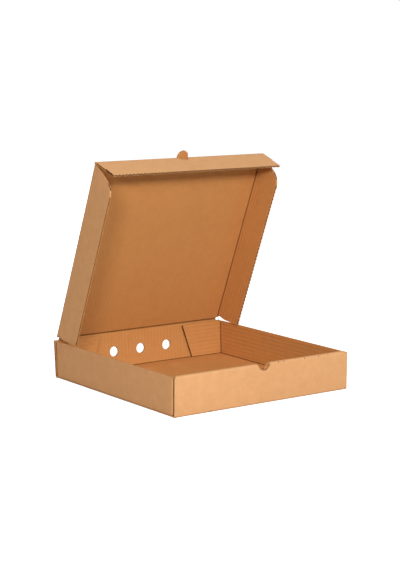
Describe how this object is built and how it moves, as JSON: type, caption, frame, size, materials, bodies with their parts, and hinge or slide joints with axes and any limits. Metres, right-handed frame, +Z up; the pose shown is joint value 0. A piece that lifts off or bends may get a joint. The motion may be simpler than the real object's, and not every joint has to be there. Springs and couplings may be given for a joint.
{
  "type": "pizza box",
  "caption": "Square folded corrugated takeaway box with a hinged lid, tucked side flaps, a lock tab, a rolled front wall and round vents.",
  "frame": {"origin": "centre of the tray's underside", "axes": "+Z up, -Y towards the rolled front wall with the notch, X along the lid's hinge"},
  "size_m": [0.32, 0.3233, 0.3543],
  "materials": {
    "kraft_board": "matt brown corrugated board"
  },
  "bodies": {
    "tray": {"tray": "kraft_board"},
    "lid": {"lid": "kraft_board"}
  },
  "joints": [
    {"name": "lid_hinge", "type": "hinge", "parent": "tray", "child": "lid", "pos_m": [0, 0.1628, 0.0607], "axis": [-1, 0, 0], "range_deg": [-68, 112]}
  ]
}
